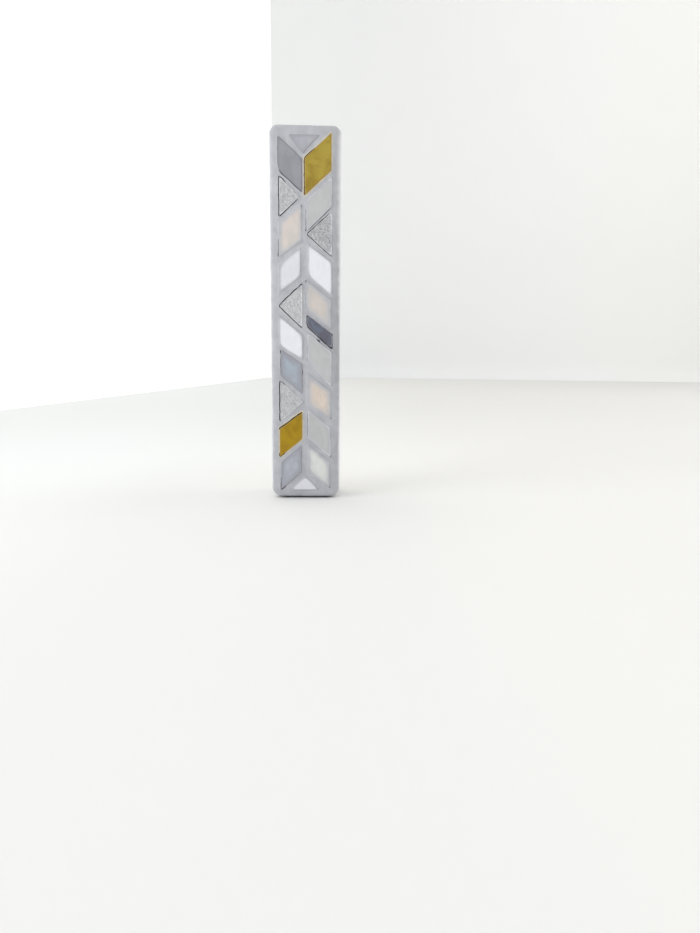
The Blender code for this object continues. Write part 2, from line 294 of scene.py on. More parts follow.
class Shader:
    """A material or a world, with short ways to add nodes. An input is a socket to link from or a value."""

    def __init__(self, name, kind="materials"):
        self.data = getattr(bpy.data, kind).new(name)
        self.data.use_nodes = True
        self.tree = self.data.node_tree

    def connect(self, target, inputs):
        for socket, value in inputs.items():
            if isinstance(value, bpy.types.NodeSocket):
                self.tree.links.new(value, target.inputs[socket])
            else:
                target.inputs[socket].default_value = value

    def node(self, kind, inputs=None, **settings):
        made = self.tree.nodes.new("ShaderNode" + kind)
        for label, value in settings.items():
            setattr(made, label, value)
        self.connect(made, inputs or {})
        return made

    def place(self, axis, space="Object"):
        """The place along an axis, in the object's own coordinates."""
        return self.node("SeparateXYZ", {0: self.node("TexCoord").outputs[space]}).outputs[axis]

    def attribute(self, label):
        return self.node("Attribute", attribute_name=label).outputs["Fac"]

    def noise(self, scale, detail=2.0, stretch=(1, 1, 1), distortion=0.0, roughness=0.5):
        """Noise over the object's own coordinates. The scale is in features per metre."""
        place = self.node("TexCoord").outputs["Object"]
        mapped = self.node("Mapping", {"Vector": place, "Scale": stretch}).outputs["Vector"]
        inputs = {"Scale": scale, "Detail": detail, "Distortion": distortion, "Roughness": roughness}
        return self.node("TexNoise", {"Vector": mapped, **inputs}).outputs["Fac"]

    def ramp(self, value, low, high, to_low=0.0, to_high=1.0, smooth=True):
        inputs = {"Value": value, "From Min": low, "From Max": high, "To Min": to_low, "To Max": to_high}
        kind = "SMOOTHSTEP" if smooth else "LINEAR"
        return self.node("MapRange", inputs, interpolation_type=kind).outputs["Result"]

    def math(self, operation, *values):
        return self.node("Math", dict(enumerate(values)), operation=operation).outputs["Value"]

    def times(self, first, second):
        return self.math("MULTIPLY", first, second)

    def mix(self, share, first, second):
        """A colour between the two."""
        first, second = (c if isinstance(c, bpy.types.NodeSocket) else (*c, 1) for c in (first, second))
        made = self.node("Mix", data_type="RGBA")
        sockets = {s.identifier: i for i, s in enumerate(made.inputs)}
        values = {"Factor_Float": share, "A_Color": first, "B_Color": second}
        self.connect(made, {sockets[label]: value for label, value in values.items()})
        return next(s for s in made.outputs if s.identifier == "Result_Color")

    def toned(self, colour, factor):
        return self.node("VectorMath", {0: colour, "Scale": factor}, operation="SCALE").outputs["Vector"]

    def finish(self, inputs, height=None, bump=0.0):
        """The material, with these inputs of its shader, and a bump of a height in metres."""
        if height is not None:
            made = self.node("Bump", {"Height": height, "Distance": bump, "Strength": 1.0})
            inputs = {**inputs, "Normal": made.outputs["Normal"]}
        self.connect(self.tree.nodes["Principled BSDF"], inputs)
        return self.data


# ---- materials of the glass


@dataclass
class GlassLook:
    """How one kind of glass looks. Colours are as displayed, 0 to 255. The haze's reach is in millimetres,
    and without an edge colour it takes the grout's. The clouds drift from the centre's colour to their own.
    The glint is how strongly the cut edge catches light."""

    centre: tuple
    edge: tuple | None
    reach: float
    drift: tuple | None = None
    cloud: float = 0.03
    cloud_size: float = 3.0
    grain: float = 0.015
    glint: float = 0.0


LOOKS = {
    "smoke": GlassLook((155, 155, 163), (138, 137, 145), 0.6, cloud=0.06, cloud_size=5.0, grain=0.05),
    "peach": GlassLook((220, 210, 204), None, 1.7, (216, 209, 204), cloud_size=5.0),
    "apricot": GlassLook((219, 205, 193), None, 2.4, cloud=0.04),
    "white": GlassLook((237, 238, 244), None, 0.75, cloud=0.02),
    "slate": GlassLook((169, 181, 193), (155, 156, 165), 2.1, (168, 170, 181), cloud_size=5.0),
    "dove": GlassLook((172, 177, 186), (155, 156, 165), 2.1, (168, 170, 180), cloud_size=5.0),
    "sage": GlassLook((192, 193, 194), (187, 185, 194), 0.9, glint=0.65),
    "charcoal": GlassLook((101, 109, 124), (84, 83, 95), 0.4, (101, 98, 112), 0.08, grain=0.08, glint=0.3),
    "cream": GlassLook((219, 220, 217), None, 1.9),
    "mist": GlassLook((186, 185, 193), (163, 163, 170), 1.2, (178, 179, 188), cloud=0.02),
    "pearl": GlassLook((221, 220, 226), None, 0.35, cloud=0.02),
}
FILMED = ("peach", "white", "cream", "pearl")  # kinds whose edges the grout has feathered over


def hazed(s, colour, edge, reach, strength=1.0):
    """The colour, fading to the edge colour near the rim along an uneven line. Also how far it has faded."""
    drift = 0.12 * reach
    uneven = s.ramp(s.noise(450), 0.25, 0.75, -drift, drift, smooth=False)
    share = s.ramp(s.math("ADD", s.attribute("rim"), uneven), 0.0, reach, strength, 0.0)
    return s.mix(share, colour, edge), share


def glinting(s, colour, strength):
    """The colour with a thin broken line of light just inside the rim, where the cut edge is chamfered."""
    rim = s.attribute("rim")
    line = s.times(s.ramp(rim, 0.04, 0.10), s.ramp(rim, 0.16, 0.30, 1.0, 0.0))
    broken = s.ramp(s.noise(260), 0.42, 0.60, 0.0, strength)
    return s.mix(s.times(line, broken), colour, linear(232, 233, 236))


def opal_glass(kind, look):
    """Cut opalescent glass: drifting clouds of tone, fine grain, and a film of grout dried over its edges."""
    s = Shader("glass_" + kind)
    centre, drift = (np.array(linear(*colour)) for colour in (look.centre, look.drift or look.centre))
    cloud = s.noise(1000 / look.cloud_size, 3, (1, 1, 0.6), 1.2)
    colour = s.mix(s.ramp(cloud, 0.3, 0.7), drift * (1 - look.cloud), centre * (1 + look.cloud))
    speck = s.ramp(s.noise(4200), 0.3, 0.7, 1 - look.grain, 1 + look.grain, smooth=False)
    colour = s.toned(colour, s.times(speck, s.attribute("tone")))
    colour, share = hazed(s, colour, linear(*look.edge) if look.edge else grout_colour(s), look.reach)
    if look.glint:
        colour = glinting(s, colour, look.glint)
    rough = s.ramp(share, 0.0, 1.0, 0.12, 0.45 if look.edge else 0.8)
    return s.finish({"Base Color": colour, "Roughness": rough, "IOR": GLASS_IOR}, s.noise(420), 0.06 * MM)


def gold_glass(name, dark, light, stain):
    """Clear glass over leaf: warm metal with faint wrinkles and darker patches under a glossy face."""
    s = Shader(name)
    patch = s.noise(260, 3, distortion=0.8)
    leaf = s.mix(s.ramp(patch, 0.25, 0.75), linear(*dark), linear(*light))
    lines = s.noise(2600, 3, (1, 1, 0.35))
    leaf = s.mix(s.ramp(lines, 0.45, 0.75, 0.0, 0.3), leaf, linear(*stain))
    colour, _ = hazed(s, leaf, linear(171, 142, 84), 0.5, 0.7)
    gloss = {"Specular IOR Level": 0.3, "Coat Weight": 0.25, "Coat Roughness": 0.04}
    return s.finish({"Base Color": colour, "Metallic": 0.35, "Roughness": 0.32, **gloss}, lines, 0.05 * MM)


def ripple_glass():
    """Clear hammered glass over the white bed: silvery, with the lighter and darker facets of its dimples."""
    s = Shader("glass_ripple")
    share = s.ramp(s.attribute("facet"), -0.6, 1.0, smooth=False)
    tone = s.mix(share, linear(140, 140, 146), linear(205, 206, 209))
    fleck = s.noise(2500, 3, distortion=2.0, roughness=0.65)
    tone = s.mix(s.ramp(fleck, 0.52, 0.64, 0.0, 0.85), tone, linear(230, 231, 233))
    dark = s.noise(1900, 3, distortion=2.5, roughness=0.6)
    tone = s.mix(s.ramp(dark, 0.56, 0.68, 0.0, 0.75), tone, linear(126, 126, 132))
    colour, _ = hazed(s, tone, linear(190, 191, 195), 0.35, 0.6)
    colour = s.toned(glinting(s, colour, 0.8), s.attribute("tone"))
    gloss = {"Roughness": 0.08, "IOR": GLASS_IOR, "Coat Weight": 0.5, "Coat Roughness": 0.03}
    return s.finish({"Base Color": colour, **gloss}, fleck, 0.10 * MM)


# ---- the other materials


def grout_colour(s):
    """Fine cement grout: faintly mottled, with paler and darker grains of sand, and painted shade darker
    towards the bottom.
    """
    mottle = s.noise(260, 4, distortion=0.6)
    colour = s.mix(s.ramp(mottle, 0.3, 0.7), linear(179, 180, 186), linear(191, 192, 197))
    pale = s.ramp(s.noise(5200, 3, roughness=0.7), 0.58, 0.75, 0.0, 0.35)
    colour = s.mix(pale, colour, linear(205, 205, 208))
    dark = s.ramp(s.noise(3600), 0.62, 0.78, 0.0, 0.35)
    colour = s.mix(dark, colour, linear(150, 151, 158))
    # painted shade: darker towards the bottom, lighter towards the top
    return s.toned(colour, s.ramp(s.place("Z"), LOW[2], HIGH[2], 0.945, 1.065, smooth=False))


def grout_material():
    """Grout, with painted highlights, cream beside the gold and pale at its outer edge, and painted shade in
    its crevices.
    """
    s = Shader("grout")
    colour = s.toned(grout_colour(s), s.attribute("tone"))
    # the marks: a painted cream highlight beside the gold, a painted highlight along the upright outer edges,
    # and painted shade in the crevices and along the lower edge
    marks = {"cream": (226, 212, 178), "worn": (231, 230, 233), "painted_shade": (30, 29, 33)}
    for label, mark in marks.items():
        colour = s.mix(s.attribute(label), colour, linear(*mark))
    sand = s.noise(5200, 3, roughness=0.7)
    height = s.math("ADD", s.times(sand, 0.35), s.noise(1500, 3))
    return s.finish({"Base Color": colour, "Roughness": 0.82, "Specular IOR Level": 0.3}, height, 0.10 * MM)


def paint_material():
    """Off-white paint brushed along the wood, its grain showing through, rubbed thin along the back edges."""
    s = Shader("painted_wood")
    strokes = s.noise(1100, 4, (1, 1, 0.03))
    grain = s.noise(500, 3, (1, 1, 0.05), 0.4)
    colour = s.mix(s.ramp(strokes, 0.3, 0.7), linear(201, 202, 201), linear(211, 212, 210))
    colour = s.mix(s.ramp(s.noise(130, 4), 0.5, 0.75, 0.0, 0.3), colour, linear(190, 190, 187))
    reach = 0.8 * MM
    beside = s.ramp(s.math("ABSOLUTE", s.place("X")), WOOD_HIGH[0] - reach, WOOD_HIGH[0])
    above = s.ramp(s.place("Z"), WOOD_HIGH[2] - reach, WOOD_HIGH[2])
    behind = s.ramp(s.place("Y"), WOOD_HIGH[1] - reach, WOOD_HIGH[1])
    rubbed = s.times(s.math("MAXIMUM", beside, above), behind)
    uneven = s.ramp(s.noise(240, 5, roughness=0.65), 0.35, 0.75, -0.55, 0.35)
    bare = s.ramp(s.math("ADD", rubbed, uneven), 0.55, 0.68)
    colour = s.mix(bare, colour, linear(196, 176, 146))
    height = s.math("SUBTRACT", s.math("ADD", strokes, s.times(grain, 0.8)), s.times(bare, 0.6))
    return s.finish({"Base Color": colour, "Roughness": s.ramp(bare, 0, 1, 0.45, 0.75)}, height, 0.05 * MM)


def bare_wood_material(name, light, dark, rings):
    """Sanded wood with its grain along Z: year rings as long uneven bands, over fine fibres and pores."""
    s = Shader(name)
    growth = s.noise(70, 2, (1, 1, 0.07), 0.3)
    band = s.math("PINGPONG", s.times(growth, rings), 1.0)
    colour = s.mix(s.ramp(band, 0.35, 1.0), light, dark)
    fibres = s.noise(1800, 4, (1, 1, 0.02))
    colour = s.toned(colour, s.ramp(fibres, 0.3, 0.7, 0.93, 1.05))
    pores = s.noise(3200, 3, (1, 1, 0.04))
    colour = s.mix(s.ramp(pores, 0.60, 0.74, 0.0, 0.5), colour, tuple(0.6 * c for c in dark))
    height = s.math("SUBTRACT", s.times(fibres, 0.6), pores)
    return s.finish({"Base Color": colour, "Roughness": 0.62}, height, 0.07 * MM)


def parchment_material():
    """Scraped parchment: warm cream with darker veins and a dry, fibrous face."""
    s = Shader("parchment")
    cloud = s.noise(110, 4, distortion=1.0)
    colour = s.mix(s.ramp(cloud, 0.3, 0.7), linear(222, 204, 166), linear(238, 226, 198))
    veins = s.noise(600, 5, distortion=4.0, roughness=0.7)
    colour = s.mix(s.ramp(veins, 0.6, 0.72, 0.0, 0.4), colour, linear(196, 170, 124))
    glow = {"Subsurface Weight": 0.1, "Subsurface Radius": (1.0 * MM, 0.6 * MM, 0.3 * MM)}
    return s.finish({"Base Color": colour, "Roughness": 0.7, **glow}, s.noise(2500, 4), 0.04 * MM)


def film_material():
    """Clear film, faintly scuffed."""
    s = Shader("clear_film")
    scuffs = s.noise(700, 3, (1, 1, 0.25))
    rough, alpha = s.ramp(scuffs, 0.4, 0.7, 0.05, 0.18), s.ramp(scuffs, 0.45, 0.75, 0.14, 0.20)
    look = {"Base Color": (*linear(236, 240, 244), 1), "Roughness": rough, "Alpha": alpha, "IOR": 1.49}
    return s.finish(look, scuffs, 0.02 * MM)


def adhesive_material():
    """Cured white mosaic glue, with the ridges that the spreader left."""
    s = Shader("adhesive")
    ridges = s.noise(500, 2, (1, 1, 0.3))
    colour = s.mix(ridges, linear(226, 224, 214), linear(240, 239, 233))
    return s.finish({"Base Color": colour, "Roughness": 0.5}, ridges, 0.15 * MM)


# ---- outlines


@dataclass
class Glass:
    """One piece of glass: its corners, and its outline as points, each with its side and its share of it."""

    name: str
    seed: int
    corners: np.ndarray
    outline: np.ndarray
    outward: np.ndarray
    sides: np.ndarray
    shares: np.ndarray

    @property
    def label(self):
        return self.name.removeprefix("glass_")

    @property
    def kind(self):
        return self.name.split("_")[-1]

    @property
    def centre(self):
        return self.corners.mean(axis=0)


def edges_of(corners):
    return list(zip(corners, np.roll(corners, -1, axis=0)))


def hull_of(node_name):
    """The corners of a piece of glass as seen from the front, anticlockwise."""
    points = sorted({(round(v.co.x, 6), round(v.co.z, 6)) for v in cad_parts[node_name].data.vertices})
    hull = np.array([points[i] for i in geometry.convex_hull_2d([Vector(p) for p in points])])
    if sum(a[0] * b[1] - b[0] * a[1] for a, b in edges_of(hull)) < 0:
        hull = hull[::-1]
    return hull


def side_name(start, end, centre):
    """outer and inner are the upright sides, away from and towards the middle of the case."""
    across, up = abs(end[0] - start[0]), abs(end[1] - start[1])
    middle = (start + end) / 2
    if across < 0.35 * up:
        return "outer" if abs(middle[0]) > abs(centre[0]) else "inner"
    return "top" if middle[1] > centre[1] else "bottom"


def divided(corners, step):
    """Points about a step apart along a closed polygon, and the number of the side that each is on."""
    points, sides = [], []
    for side, (start, end) in enumerate(edges_of(corners)):
        count = max(1, round(math.dist(start, end) / step))
        points += [start + (end - start) * i / count for i in range(count)]
        sides += [side] * count
    return np.array(points), np.array(sides)


def normals_of(outline):
    along = np.roll(outline, -1, axis=0) - np.roll(outline, 1, axis=0)
    along /= np.linalg.norm(along, axis=1)[:, None]
    return np.stack([along[:, 1], -along[:, 0]], axis=1)


def side_distances(corners, x, z):
    """How far inside each side of a convex anticlockwise polygon the points lie, side by side."""
    distances = []
    for start, end in edges_of(corners):
        along = (end - start) / math.dist(start, end)
        distances.append((z - start[1]) * along[0] - (x - start[0]) * along[1])
    return np.array(distances)


def inside_outline(outline, points):
    """Which points lie inside a closed outline of any shape, by counting its crossings to their right."""
    inside = np.zeros(len(points), bool)
    near = np.flatnonzero(np.all((points > outline.min(axis=0)) & (points < outline.max(axis=0)), axis=1))
    x, z = points[near].T
    crossings = np.zeros(len(near), int)
    for (x0, z0), (x1, z1) in edges_of(outline):
        if z0 != z1:
            crossings += ((z0 <= z) != (z1 <= z)) & (x < x0 + (z - z0) / (z1 - z0) * (x1 - x0))
    inside[near] = crossings % 2 == 1
    return inside


def read_glass(node_name, seed):
    corners = hull_of(node_name)
    outline, sides = divided(corners, OUTLINE_STEP)
    names = [side_name(start, end, corners.mean(axis=0)) for start, end in edges_of(corners)]
    sides = np.array(names)[sides]
    for _ in range(5):  # rounds the corners a little
        outline = (np.roll(outline, 1, axis=0) + 2 * outline + np.roll(outline, -1, axis=0)) / 4
    x, z = outline.T
    wander = noise(x, z, 1.6 * MM, seed) + 0.4 * noise(x, z, 0.5 * MM, seed + 500) - 0.5
    outline = outline + normals_of(outline) * GLASS_WANDER * wander[:, None]
    shares = np.zeros(len(outline))
    for side in np.unique(sides):
        level = outline[sides == side, 1]
        shares[sides == side] = (level.max() - level) / np.ptp(level)
    return Glass(node_name, 100 * seed, corners, outline, normals_of(outline), sides, shares)


def crevice_widths(glass):
    """How far the grout stands off each point of the outline."""
    x, z = glass.outline.T
    uneven = 0.85 + 0.3 * noise(x, z, 0.8 * MM, 77)
    widths = np.zeros(len(x))
    for side, start, end, width in CREVICES.get(glass.label, ()):
        opening = smoothstep(start - CREVICE_FADE, start + CREVICE_FADE, glass.shares)
        closing = smoothstep(end + CREVICE_FADE, end - CREVICE_FADE, glass.shares)
        window = closing if start <= 0 else opening * closing
        if end >= 1:
            window = np.maximum(window, opening * (glass.shares > start))
        widths = np.maximum(widths, (glass.sides == side) * window * width * MM * uneven)
    wrapped = np.concatenate([widths[-2:], widths, widths[:2]])
    return np.convolve(wrapped, np.array([1, 2, 3, 2, 1]) / 9, "valid")


def case_edge_distance(x, z):
    """How far inside the rounded outline of the front a point lies."""
    half_x = GROUT_HIGH[0] - GROUT_INSET
    middle = (GROUT_BASE + GROUT_HIGH[2]) / 2
    half_z = (GROUT_HIGH[2] - GROUT_BASE) / 2 - GROUT_INSET
    radius = np.where(z > middle, CORNER_TOP, CORNER_BOTTOM)
    dx, dz = np.abs(x) - (half_x - radius), np.abs(z - middle) - (half_z - radius)
    outside = np.hypot(np.maximum(dx, 0), np.maximum(dz, 0))
    return radius - outside - np.minimum(np.maximum(dx, dz), 0)


def rounded_box(half, bottom, top, radii, counts):
    """The points of an upright box's rounded corners, anticlockwise from its lower right one. The radii and
    the steps round each corner are those of the lower corners, then those of the upper ones."""
    points = []
    for side, up, start in ((1, 0, -90), (1, 1, 0), (-1, 1, 90), (-1, 0, 180)):
        radius, count = radii[up], counts[up]
        level = top - radius if up else bottom + radius
        for step in range(count + 1):
            angle = math.radians(start + 90 * step / count)
            x = side * (half - radius) + radius * math.cos(angle)
            points.append((x, level + radius * math.sin(angle)))
    return points


def case_outline(step, half, bottom, top):
    """The rounded outline of the case, anticlockwise, with points about a step apart."""
    radii = (CORNER_BOTTOM, CORNER_TOP)
    counts = [max(6, round(radius * math.pi / 2 / step)) for radius in radii]
    return divided(np.array(rounded_box(half, bottom, top, radii, counts)), step)[0]


def grout_outline(step):
    half = GROUT_HIGH[0] - GROUT_INSET
    return case_outline(step, half, GROUT_BASE + GROUT_INSET, GROUT_HIGH[2] - GROUT_INSET)


# ---- the glass


def hammered(glass, x, z):
    """Depth of the dimples in hammered glass, from 0 on the ridges to 1, and each dimple's own tone."""
    away, own = cells(x, z, DIMPLE, glass.seed + 40)
    small, small_own = cells(x, z, DIMPLE / 2, glass.seed + 41)
    depth = np.clip(1 - away * away * 1.6, 0, 1) * 0.7 + np.clip(1 - small * small * 1.8, 0, 1) * 0.3
    return depth, 0.6 * own + 0.4 * small_own


def glass_front(glass, x, z, inside):
    """Place along Y of a piece's front, which is slightly tilted, wavy and rounded over at its rim."""
    tilt_x, tilt_z = np.random.default_rng(glass.seed).uniform(-0.006, 0.006, 2)
    drop = GLASS_EDGE - np.sqrt(np.maximum(GLASS_EDGE**2 - np.maximum(GLASS_EDGE - inside, 0) ** 2, 0))
    y = GLASS_FACE + 0.04 * MM + drop + tilt_x * (x - glass.centre[0]) + tilt_z * (z - glass.centre[1])
    y += MM * (0.03 * noise(x, z, 2.5 * MM, glass.seed + 20) + 0.012 * noise(x, z, 0.9 * MM, glass.seed + 21))
    if glass.kind == "ripple":
        y += DIMPLE_DEPTH * hammered(glass, x, z)[0] * smoothstep(0, 0.5 * MM, inside)
    return np.maximum(y, GLASS_FACE)


def rim_distance(glass, x, z):
    """Distance in from the nearest side, in millimetres, rounded at the corners and leaning to one side."""
    total = np.exp(-side_distances(glass.corners, x, z) / (RIM_SOFTNESS * MM)).sum(axis=0)
    softened = -RIM_SOFTNESS * np.log(total)
    half_width = np.ptp(glass.corners[:, 0]) / 2
    lean = HAZE_LEANS.get(glass.label, 0.0) * (x - glass.centre[0]) / half_width
    leaning = np.maximum(softened, 0) - lean * smoothstep(0, 1, softened)
    return leaning / HAZE_SPREADS.get(glass.label, 1.0)


def make_glass(glass, material):
    """One piece: a front of rings that close in on its middle, a rounded edge and a flat back."""
    spread = 1 - (1 - np.linspace(1, 0.02, GLASS_RINGS)) ** 1.25
    spoke = glass.outline - glass.centre
    reach = np.maximum(np.einsum("ij,ij->i", spoke, glass.outward), 0.2 * MM)
    rings = []
    for share in spread[::-1]:
        x, z = (glass.centre + spoke * share).T
        rings.append(np.stack([x, glass_front(glass, x, z, (1 - share) * reach), z], axis=1))
    back = rings[-1].copy()
    back[:, 1] = GLASS_BACK
    points = np.concatenate([*rings, back])
    x, _, z = points.T
    attributes = {"rim": rim_distance(glass, x, z), "tone": np.full(len(points), TONES.get(glass.label, 1.0))}
    if glass.kind == "ripple":
        facet = hammered(glass, x, z)[1]
        attributes["facet"] = np.clip(1.7 * facet - 0.62, -0.6, 1) if glass.label == DARKER_RIPPLE else facet
    faces = loft_faces(GLASS_RINGS + 1, len(back))
    add_piece(glass.name + "_cut", points, faces, material, glass.name, attributes, sharp=50)


# ---- the grout


def grout_points(pockets):
    """Loose points over the grout's face: rings round its pockets and its outline, and an uneven field."""
    rings = []
    for pocket in pockets:
        for away, keep in ((0.10, 1), (0.24, 1), (0.45, 2), (0.75, 2), (1.1, 3)):
            rings.append((pocket + normals_of(pocket) * away * MM)[::keep])
    outline = grout_outline(0.35 * MM)
    for inset in (0.05, 0.13, 0.25, 0.40, 0.60, 0.85, 1.15, 1.5):
        rings.append(outline - normals_of(outline) * inset * MM)
    grid_x, grid_z = np.meshgrid(np.arange(LOW[0], HIGH[0], 0.36 * MM), np.arange(LOW[2], HIGH[2], 0.36 * MM))
    field = np.stack([grid_x.ravel(), grid_z.ravel()], axis=1)
    rings.append(field + np.random.default_rng(5).uniform(-0.08 * MM, 0.08 * MM, field.shape))
    return np.concatenate(rings)


def thinned(points, fixed, gap):
    """The points that keep a gap to the fixed ones and to the points kept before them."""
    taken = {}

    def cell(p):
        return int(p[0] / gap + 10000), int(p[1] / gap + 10000)

    for p in fixed:
        taken.setdefault(cell(p), []).append(p)
    kept = []
    for p in points:
        i, j = cell(p)
        near = (q for a in (-1, 0, 1) for b in (-1, 0, 1) for q in taken.get((i + a, j + b), ()))
        if all((p[0] - q[0]) ** 2 + (p[1] - q[1]) ** 2 > gap * gap for q in near):
            kept.append(p)
            taken.setdefault((i, j), []).append(p)
    return kept


def grout_triangles(glasses, pockets):
    """Flat triangles over the front, with a hole for every piece of glass, and their points."""
    loops = [grout_outline(0.22 * MM), *pockets]
    fixed = np.concatenate(loops)
    free = grout_points(pockets)
    keep = case_edge_distance(*free.T) > 0.04 * MM
    for glass in glasses:
        keep &= np.any(side_distances(glass.corners, *free.T) <= -0.05 * MM, axis=0)
    free = thinned(free[keep].tolist(), fixed.tolist(), POINT_GAP)
    edges, start = [], 0
    for loop in loops:
        count = len(loop)
        edges += [(start + i, start + (i + 1) % count) for i in range(count)]
        start += count
    scale = 1 / MM
    spots = [Vector((x * scale, z * scale)) for x, z in [*fixed.tolist(), *free]]
    made = geometry.delaunay_2d_cdt(spots, edges, [], 0, 1e-5, False)
    points = np.array([tuple(p) for p in made[0]]) / scale
    triangles = np.array([face for face in made[2] if len(face) == 3])
    middle = points[triangles].mean(axis=1)
    keep = case_edge_distance(*middle.T) > -0.01 * MM
    for pocket in pockets:
        keep &= ~inside_outline(pocket, middle)
    return points, triangles[keep]


def grout_face(x, z, away):
    """Place along Y of the grout's front, which depends on how near it is to its outline and to glass."""
    inset = case_edge_distance(x, z)
    corner = np.maximum(GROUT_ROUND - inset, 0)
    y = GROUT_LOW[1] + GROUT_ROUND - np.sqrt(np.maximum(GROUT_ROUND**2 - corner**2, 0))
    y += GROUT_FALL * np.clip(1 - inset / BORDER_REACH, 0, 1) ** 1.4
    y += JOINT_DIP * (1 - np.exp(-away / (0.35 * MM)))
    for height, size, seed in ((0.035, 2.2, 61), (0.018, 0.8, 62), (0.008, 0.33, 63)):
        y += height * MM * noise(x, z, size * MM, seed)
    return y


def grout_pockets(glasses):
    """The grout's edge round each piece of glass, and for all their points: gap, film and place along Y."""
    pockets, gaps, films, heights = [], [], [], []
    for glass in glasses:
        gap = crevice_widths(glass)
        film = (glass.kind in FILMED) * smoothstep(0.04 * MM, 0.0, gap)
        lap = LAP + film * (FILM - LAP)
        pocket = glass.outline + glass.outward * (gap - lap)[:, None]
        pockets.append(pocket)
        gaps.append(gap)
        films.append(film)
        heights.append(glass_front(glass, *pocket.T, lap) - 0.012 * MM)
    return pockets, np.concatenate(gaps), np.concatenate(films), np.concatenate(heights)


def grout_shade_and_tone(x, z):
    """Brightness of the grout against its usual tone: painted shade, darker half way up its right edge."""
    share = smoothstep(0, 1, (x / HIGH[0] - 0.1) / 0.75)
    return 1 - share * (1 - np.interp(z, SHADE_LEVELS, SHADE_TONES)) + 0.03 * noise(x, z, 9 * MM, 93)


def edge_highlight_share(x, z):
    """How far the grout is painted pale as a highlight: along its upright edges, and furthest in on the
    right, high up.
    """
    reach = np.where(x > 0, MM * np.interp(z, HIGHLIGHT_LEVELS, HIGHLIGHT_RIGHT), HIGHLIGHT_LEFT)
    reach *= 1 + 0.25 * noise(x, z, 1.5 * MM, 92)
    corner = smoothstep(0, 4 * MM, np.minimum(z - LOW[2], HIGH[2] - z))
    upright = smoothstep(0.75, 0.95, np.abs(x) / HIGH[0])
    return upright * corner * np.clip(1 - case_edge_distance(x, z) / reach, 0, 1)


def nearest_of(rims, points):
    """For each point, the number of the nearest rim point and the distance to it."""
    tree = kdtree.KDTree(len(rims))
    for i, (x, z) in enumerate(rims.tolist()):
        tree.insert((x, z, 0), i)
    tree.balance()
    found = [tree.find((x, z, 0)) for x, z in points]
    return np.array([index for _, index, _ in found]), np.array([distance for _, _, distance in found])


def solid_faces(triangles, count):
    """A front of triangles, the same turned round as a back, and a wall along every open edge. The back's
    points follow the front's, whose number is the count."""
    directed = {(a, b) for i, j in ((0, 1), (1, 2), (2, 0)) for a, b in triangles[:, (i, j)].tolist()}
    walls = [(b, a, a + count, b + count) for a, b in sorted(directed) if (b, a) not in directed]
    return triangles.tolist() + (triangles[:, ::-1] + count).tolist() + walls


def make_grout(glasses, material):
    """The grout as one solid: a front with a pocket for every piece of glass, drawn back to the body."""
    pockets, gaps, films, heights = grout_pockets(glasses)
    points, triangles = grout_triangles(glasses, pockets)
    nearest, away = nearest_of(np.concatenate(pockets), points)
    gap, film, height = gaps[nearest], films[nearest], heights[nearest]
    golden = np.repeat([glass.kind == "gold" for glass in glasses], [len(p) for p in pockets])[nearest]

    x, z = points.T
    inset = case_edge_distance(x, z)
    at_rim = away < AT_RIM
    y = grout_face(x, z, away) + np.where(at_rim & (film < 0.5), 0.03 * MM, 0)
    y += (height - y) * film * smoothstep(0.42 * MM, 0.0, away)
    # painted shade: near black down the crevices, and a painted contact shadow along the lower edge
    painted_shade = np.where(at_rim & (gap > 0.03 * MM), np.clip(gap / (0.16 * MM), 0, 1), 0.0)
    painted_shade = np.maximum(painted_shade, smoothstep(CONTACT_SHADOW, 0.55 * CONTACT_SHADOW, z - GROUT_BASE))
    # painted highlight: a cream line on the grout just outside the gold glass
    cream = golden * smoothstep(0.55 * MM, 0.15 * MM, away) * (0.65 + 0.35 * noise(x, z, 1.1 * MM, 91))
    # painted highlight, paler along the upright outer edges
    worn = edge_highlight_share(x, z)

    reach = OUTLINE_WANDER * smoothstep(2.6 * MM, 0.6 * MM, inset)
    wander = 0.7 * noise(x * 0.2, z, 6 * MM, 31) + 0.3 * noise(x, z, 1.8 * MM, 32)
    x = x + reach * wander * np.sign(x) * smoothstep(5 * MM, 9 * MM, np.abs(x))
    x = np.clip(x, GROUT_LOW[0], GROUT_HIGH[0])
    z = z + 0.6 * reach * noise(x, z, 4 * MM, 34)
    z = np.clip(z, GROUT_BASE, GROUT_HIGH[2])

    front = np.stack([x, y, z], axis=1)
    back = front.copy()
    back[:, 1] = np.where(inset > 1.4 * MM, BED_LOW[1] - 0.05 * MM, WOOD_LOW[1] - 0.02 * MM)
    faces = solid_faces(triangles, len(points))
    used = sorted({i for face in faces for i in face})
    lookup = {old: new for new, old in enumerate(used)}
    faces = [tuple(lookup[i] for i in face) for face in faces]
    attributes = {
        # painted shade, black down the walls of the crevices
        "painted_shade": np.concatenate([painted_shade, np.where(at_rim, 1.0, painted_shade)])[used],
        "cream": np.tile(cream, 2)[used],
        "worn": np.concatenate([worn, 0.2 * worn])[used],
        # painted shade half way up the right edge, with faint random mottling
        "tone": np.tile(grout_shade_and_tone(x, z), 2)[used],
    }
    points = np.concatenate([front, back])[used]
    add_piece("grout_bed", points, faces, material, "grout", attributes, sharp=55)


# ---- the body, plate and scroll


def plain_solid(name, rings, finish=0):
    """A solid from rings of (x, z) outlines, each with its place along Y. It takes the numbered finish."""
    points = [(x, y, z) for y, outline in rings for x, z in outline]
    solid = new_object(name, points, loft_faces(len(rings), len(rings[0][1])))
    shape = bmesh.new()
    shape.from_mesh(solid.data)
    bmesh.ops.recalc_face_normals(shape, faces=shape.faces)
    for face in shape.faces:
        face.material_index = finish
    shape.to_mesh(solid.data)
    shape.free()
    return solid


